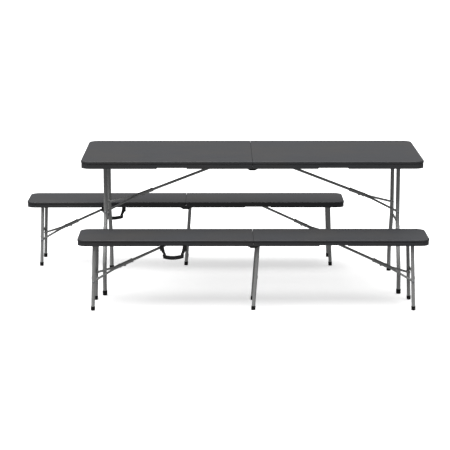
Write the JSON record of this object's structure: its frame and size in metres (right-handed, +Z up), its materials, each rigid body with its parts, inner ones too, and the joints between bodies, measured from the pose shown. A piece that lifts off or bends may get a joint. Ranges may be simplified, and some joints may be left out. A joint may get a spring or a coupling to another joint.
{
  "type": "folding picnic table with benches",
  "caption": "Folding picnic set: a moulded plastic table and matching benches whose tops fold in half over steel legs with locking braces.",
  "frame": {"origin": "floor level, centre of the whole set seen from above", "axes": "+X along the tops, +Y from the front bench to the rear bench, +Z up"},
  "size_m": [2.2, 1.404, 0.74],
  "materials": {
    "moulded_plastic": "fine wood-grain texture, satin",
    "grey_steel": "powder coated",
    "black_steel": "black coated",
    "zinc_steel": "zinc plated",
    "black_rubber": "matte",
    "black_webbing": "woven"
  },
  "bodies": {
    "table_half_left": {"table_top_left": "moulded_plastic", "table_rails_left": "grey_steel", "table_hinge_left": "black_steel", "table_screws_left": "zinc_steel"},
    "table_leg_frame_left": {"table_legs_left": "grey_steel", "table_feet_left": "black_rubber"},
    "table_brace_rod_left": {"table_rod_left": "grey_steel"},
    "table_brace_fork_left": {"table_fork_left": "grey_steel"},
    "table_lock_collar_left": {"table_collar_left": "grey_steel"},
    "table_half_right": {"table_top_right": "moulded_plastic", "table_rails_right": "grey_steel", "table_hinge_right": "black_steel", "table_screws_right": "zinc_steel"},
    "table_leg_frame_right": {"table_legs_right": "grey_steel", "table_feet_right": "black_rubber"},
    "table_brace_rod_right": {"table_rod_right": "grey_steel"},
    "table_brace_fork_right": {"table_fork_right": "grey_steel"},
    "table_lock_collar_right": {"table_collar_right": "grey_steel"},
    "table_hinge_link": {"table_housing": "black_steel"},
    "front_bench_half_left": {"front_bench_top_left": "moulded_plastic", "front_bench_rails_left": "grey_steel", "front_bench_hinge_left": "black_steel"},
    "front_bench_leg_frame_left": {"front_bench_legs_left": "grey_steel", "front_bench_feet_left": "black_rubber"},
    "front_bench_brace_rod_left": {"front_bench_rod_left": "grey_steel"},
    "front_bench_brace_fork_left": {"front_bench_fork_left": "grey_steel"},
    "front_bench_lock_collar_left": {"front_bench_collar_left": "grey_steel"},
    "front_bench_half_right": {"front_bench_top_right": "moulded_plastic", "front_bench_rails_right": "grey_steel", "front_bench_hinge_right": "black_steel"},
    "front_bench_leg_frame_right": {"front_bench_legs_right": "grey_steel", "front_bench_feet_right": "black_rubber"},
    "front_bench_brace_rod_right": {"front_bench_rod_right": "grey_steel"},
    "front_bench_brace_fork_right": {"front_bench_fork_right": "grey_steel"},
    "front_bench_lock_collar_right": {"front_bench_collar_right": "grey_steel"},
    "front_bench_leg_frame_middle": {"front_bench_legs_middle": "grey_steel", "front_bench_feet_middle": "black_rubber"},
    "front_bench_strap": {"front_bench_handle": "black_webbing"},
    "front_bench_hinge_link": {"front_bench_housing": "black_steel"},
    "rear_bench_half_left": {"rear_bench_top_left": "moulded_plastic", "rear_bench_rails_left": "grey_steel", "rear_bench_hinge_left": "black_steel"},
    "rear_bench_leg_frame_left": {"rear_bench_legs_left": "grey_steel", "rear_bench_feet_left": "black_rubber"},
    "rear_bench_brace_rod_left": {"rear_bench_rod_left": "grey_steel"},
    "rear_bench_brace_fork_left": {"rear_bench_fork_left": "grey_steel"},
    "rear_bench_lock_collar_left": {"rear_bench_collar_left": "grey_steel"},
    "rear_bench_half_right": {"rear_bench_top_right": "moulded_plastic", "rear_bench_rails_right": "grey_steel", "rear_bench_hinge_right": "black_steel"},
    "rear_bench_leg_frame_right": {"rear_bench_legs_right": "grey_steel", "rear_bench_feet_right": "black_rubber"},
    "rear_bench_brace_rod_right": {"rear_bench_rod_right": "grey_steel"},
    "rear_bench_brace_fork_right": {"rear_bench_fork_right": "grey_steel"},
    "rear_bench_lock_collar_right": {"rear_bench_collar_right": "grey_steel"},
    "rear_bench_leg_frame_middle": {"rear_bench_legs_middle": "grey_steel", "rear_bench_feet_middle": "black_rubber"},
    "rear_bench_strap": {"rear_bench_handle": "black_webbing"},
    "rear_bench_hinge_link": {"rear_bench_housing": "black_steel"}
  },
  "joints": [
    {"name": "table_fold_left", "type": "hinge", "parent": "table_half_left", "child": "table_hinge_link", "pos_m": [0.173, 0, 0.696], "axis": [0, 1, 0], "range_deg": [0, 90]},
    {"name": "table_fold_right", "type": "hinge", "parent": "table_hinge_link", "child": "table_half_right", "pos_m": [0.197, 0, 0.696], "axis": [0, 1, 0], "range_deg": [0, 90]},
    {"name": "table_leg_left", "type": "hinge", "parent": "table_half_left", "child": "table_leg_frame_left", "pos_m": [-0.61, 0, 0.711], "axis": [0, -1, 0], "range_deg": [0, 90]},
    {"name": "table_brace_left", "type": "hinge", "parent": "table_half_left", "child": "table_brace_rod_left", "pos_m": [0.125, 0, 0.711], "axis": [0, 1, 0], "range_deg": [0, 21.06]},
    {"name": "table_fork_left", "type": "hinge", "parent": "table_leg_frame_left", "child": "table_brace_fork_left", "pos_m": [-0.61, 0, 0.428], "axis": [0, -1, 0], "range_deg": [0, 68.94]},
    {"name": "table_lock_left", "type": "slide", "parent": "table_brace_rod_left", "child": "table_lock_collar_left", "axis": [0.9332, 0, 0.3593], "range_m": [0, 0.11]},
    {"name": "table_leg_right", "type": "hinge", "parent": "table_half_right", "child": "table_leg_frame_right", "pos_m": [0.98, 0, 0.711], "axis": [0, 1, 0], "range_deg": [0, 90]},
    {"name": "table_brace_right", "type": "hinge", "parent": "table_half_right", "child": "table_brace_rod_right", "pos_m": [0.245, 0, 0.711], "axis": [0, -1, 0], "range_deg": [0, 21.06]},
    {"name": "table_fork_right", "type": "hinge", "parent": "table_leg_frame_right", "child": "table_brace_fork_right", "pos_m": [0.98, 0, 0.428], "axis": [0, 1, 0], "range_deg": [0, 68.94]},
    {"name": "table_lock_right", "type": "slide", "parent": "table_brace_rod_right", "child": "table_lock_collar_right", "axis": [-0.9332, 0, 0.3593], "range_m": [0, 0.11]},
    {"name": "front_bench_pull_out", "type": "slide", "parent": "table_half_left", "child": "front_bench_half_left", "axis": [0, -1, 0], "range_m": [0, 0.35]},
    {"name": "front_bench_fold_left", "type": "hinge", "parent": "front_bench_half_left", "child": "front_bench_hinge_link", "pos_m": [0.173, -0.547, 0.344], "axis": [0, 1, 0], "range_deg": [0, 90]},
    {"name": "front_bench_fold_right", "type": "hinge", "parent": "front_bench_hinge_link", "child": "front_bench_half_right", "pos_m": [0.197, -0.547, 0.344], "axis": [0, 1, 0], "range_deg": [0, 90]},
    {"name": "front_bench_leg_left", "type": "hinge", "parent": "front_bench_half_left", "child": "front_bench_leg_frame_left", "pos_m": [-0.64, -0.547, 0.3575], "axis": [0, -1, 0], "range_deg": [0, 92]},
    {"name": "front_bench_brace_left", "type": "hinge", "parent": "front_bench_half_left", "child": "front_bench_brace_rod_left", "pos_m": [-0.2, -0.547, 0.3575], "axis": [0, 1, 0], "range_deg": [0, 24.62]},
    {"name": "front_bench_fork_left", "type": "hinge", "parent": "front_bench_leg_frame_left", "child": "front_bench_brace_fork_left", "pos_m": [-0.64715, -0.547, 0.15263], "axis": [0, -1, 0], "range_deg": [0, 63.38]},
    {"name": "front_bench_lock_left", "type": "slide", "parent": "front_bench_brace_rod_left", "child": "front_bench_lock_collar_left", "axis": [0.9091, 0, 0.4165], "range_m": [0, 0.11]},
    {"name": "front_bench_leg_right", "type": "hinge", "parent": "front_bench_half_right", "child": "front_bench_leg_frame_right", "pos_m": [1.01, -0.547, 0.3575], "axis": [0, 1, 0], "range_deg": [0, 92]},
    {"name": "front_bench_brace_right", "type": "hinge", "parent": "front_bench_half_right", "child": "front_bench_brace_rod_right", "pos_m": [0.57, -0.547, 0.3575], "axis": [0, -1, 0], "range_deg": [0, 24.62]},
    {"name": "front_bench_fork_right", "type": "hinge", "parent": "front_bench_leg_frame_right", "child": "front_bench_brace_fork_right", "pos_m": [1.01715, -0.547, 0.15263], "axis": [0, 1, 0], "range_deg": [0, 63.38]},
    {"name": "front_bench_lock_right", "type": "slide", "parent": "front_bench_brace_rod_right", "child": "front_bench_lock_collar_right", "axis": [-0.9091, 0, 0.4165], "range_m": [0, 0.11]},
    {"name": "front_bench_leg_middle", "type": "hinge", "parent": "front_bench_half_right", "child": "front_bench_leg_frame_middle", "pos_m": [0.2105, -0.547, 0.3575], "axis": [0, -1, 0], "range_deg": [0, 94.08]},
    {"name": "front_bench_strap_swing", "type": "hinge", "parent": "front_bench_half_left", "child": "front_bench_strap", "pos_m": [-0.23, -0.693, 0.35], "axis": [-1, 0, 0], "range_deg": [0, 90]},
    {"name": "rear_bench_pull_out", "type": "slide", "parent": "table_half_left", "child": "rear_bench_half_left", "axis": [0, 1, 0], "range_m": [0, 0.35]},
    {"name": "rear_bench_fold_left", "type": "hinge", "parent": "rear_bench_half_left", "child": "rear_bench_hinge_link", "pos_m": [-0.197, 0.547, 0.344], "axis": [0, 1, 0], "range_deg": [0, 90]},
    {"name": "rear_bench_fold_right", "type": "hinge", "parent": "rear_bench_hinge_link", "child": "rear_bench_half_right", "pos_m": [-0.173, 0.547, 0.344], "axis": [0, 1, 0], "range_deg": [0, 90]},
    {"name": "rear_bench_leg_left", "type": "hinge", "parent": "rear_bench_half_left", "child": "rear_bench_leg_frame_left", "pos_m": [-1.01, 0.547, 0.3575], "axis": [0, -1, 0], "range_deg": [0, 92]},
    {"name": "rear_bench_brace_left", "type": "hinge", "parent": "rear_bench_half_left", "child": "rear_bench_brace_rod_left", "pos_m": [-0.57, 0.547, 0.3575], "axis": [0, 1, 0], "range_deg": [0, 24.62]},
    {"name": "rear_bench_fork_left", "type": "hinge", "parent": "rear_bench_leg_frame_left", "child": "rear_bench_brace_fork_left", "pos_m": [-1.01715, 0.547, 0.15263], "axis": [0, -1, 0], "range_deg": [0, 63.38]},
    {"name": "rear_bench_lock_left", "type": "slide", "parent": "rear_bench_brace_rod_left", "child": "rear_bench_lock_collar_left", "axis": [0.9091, 0, 0.4165], "range_m": [0, 0.11]},
    {"name": "rear_bench_leg_right", "type": "hinge", "parent": "rear_bench_half_right", "child": "rear_bench_leg_frame_right", "pos_m": [0.64, 0.547, 0.3575], "axis": [0, 1, 0], "range_deg": [0, 92]},
    {"name": "rear_bench_brace_right", "type": "hinge", "parent": "rear_bench_half_right", "child": "rear_bench_brace_rod_right", "pos_m": [0.2, 0.547, 0.3575], "axis": [0, -1, 0], "range_deg": [0, 24.62]},
    {"name": "rear_bench_fork_right", "type": "hinge", "parent": "rear_bench_leg_frame_right", "child": "rear_bench_brace_fork_right", "pos_m": [0.64715, 0.547, 0.15263], "axis": [0, 1, 0], "range_deg": [0, 63.38]},
    {"name": "rear_bench_lock_right", "type": "slide", "parent": "rear_bench_brace_rod_right", "child": "rear_bench_lock_collar_right", "axis": [-0.9091, 0, 0.4165], "range_m": [0, 0.11]},
    {"name": "rear_bench_leg_middle", "type": "hinge", "parent": "rear_bench_half_right", "child": "rear_bench_leg_frame_middle", "pos_m": [-0.1595, 0.547, 0.3575], "axis": [0, -1, 0], "range_deg": [0, 94.08]},
    {"name": "rear_bench_strap_swing", "type": "hinge", "parent": "rear_bench_half_left", "child": "rear_bench_strap", "pos_m": [-0.6, 0.401, 0.35], "axis": [-1, 0, 0], "range_deg": [0, 90]}
  ],
  "couplings": [
    {"joint": "table_brace_left", "follows": "table_leg_left", "ratio": 0.23398},
    {"joint": "table_fork_left", "follows": "table_leg_left", "ratio": 0.76602},
    {"joint": "table_lock_left", "follows": "table_leg_left", "m_per_rad": 0.070028},
    {"joint": "table_brace_right", "follows": "table_leg_right", "ratio": 0.23398},
    {"joint": "table_fork_right", "follows": "table_leg_right", "ratio": 0.76602},
    {"joint": "table_lock_right", "follows": "table_leg_right", "m_per_rad": 0.070028},
    {"joint": "front_bench_brace_left", "follows": "front_bench_leg_left", "ratio": 0.26757},
    {"joint": "front_bench_fork_left", "follows": "front_bench_leg_left", "ratio": 0.68896},
    {"joint": "front_bench_lock_left", "follows": "front_bench_leg_left", "m_per_rad": 0.068506},
    {"joint": "front_bench_brace_right", "follows": "front_bench_leg_right", "ratio": 0.26757},
    {"joint": "front_bench_fork_right", "follows": "front_bench_leg_right", "ratio": 0.68896},
    {"joint": "front_bench_lock_right", "follows": "front_bench_leg_right", "m_per_rad": 0.068506},
    {"joint": "rear_bench_brace_left", "follows": "rear_bench_leg_left", "ratio": 0.26757},
    {"joint": "rear_bench_fork_left", "follows": "rear_bench_leg_left", "ratio": 0.68896},
    {"joint": "rear_bench_lock_left", "follows": "rear_bench_leg_left", "m_per_rad": 0.068506},
    {"joint": "rear_bench_brace_right", "follows": "rear_bench_leg_right", "ratio": 0.26757},
    {"joint": "rear_bench_fork_right", "follows": "rear_bench_leg_right", "ratio": 0.68896},
    {"joint": "rear_bench_lock_right", "follows": "rear_bench_leg_right", "m_per_rad": 0.068506}
  ]
}
